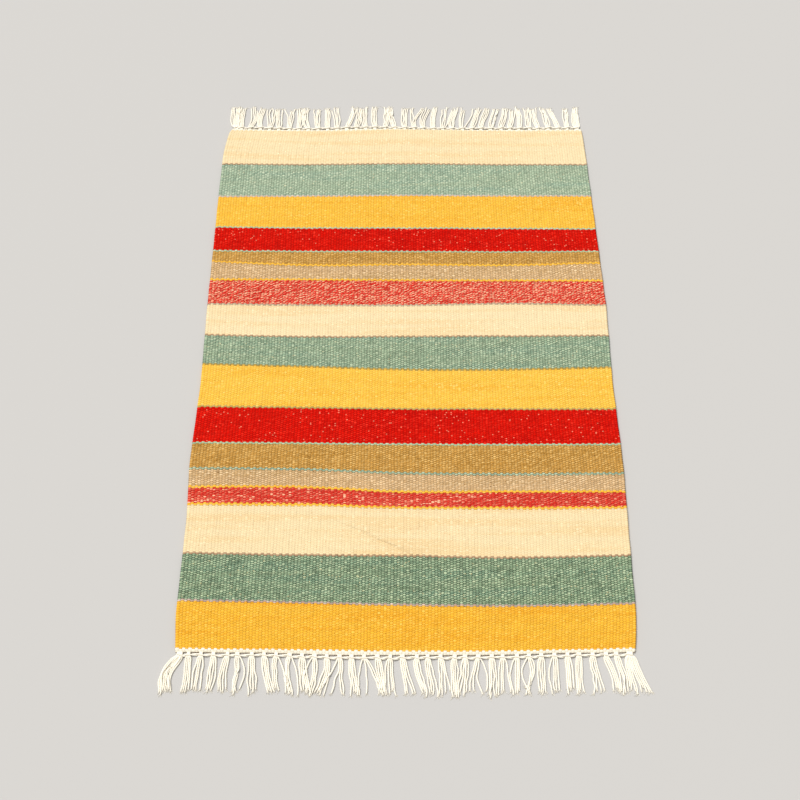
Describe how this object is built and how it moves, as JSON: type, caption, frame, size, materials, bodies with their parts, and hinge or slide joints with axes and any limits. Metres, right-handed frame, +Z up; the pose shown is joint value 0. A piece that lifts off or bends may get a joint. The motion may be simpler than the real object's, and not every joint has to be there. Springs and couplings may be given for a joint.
{
  "type": "flat-woven striped rug",
  "caption": "Small flat-woven rug in wool stripes across its width, with twined edge cords and loose cotton fringes at both ends, lying flat.",
  "frame": {"origin": "on the floor under the middle of the rug's box, fringes included", "axes": "+Y along the rug towards its far end, +X across it to the right, +Z up"},
  "size_m": [0.6366, 1.0182, 0.0056],
  "materials": {
    "striped_wool": "matt weft-faced wool, striped",
    "wool_cream": "matt heathered wool weft",
    "wool_teal": "matt heathered wool weft",
    "wool_yellow": "matt heathered wool weft",
    "wool_red": "matt heathered wool weft",
    "wool_ochre": "matt heathered wool weft",
    "wool_beige": "matt heathered wool weft",
    "wool_pink": "matt heathered wool weft",
    "cotton_yarn": "matt two-ply undyed cotton"
  },
  "bodies": {
    "root": {"field": "striped_wool", "near_fringe": "cotton_yarn", "far_fringe": "cotton_yarn"}
  },
  "joints": []
}
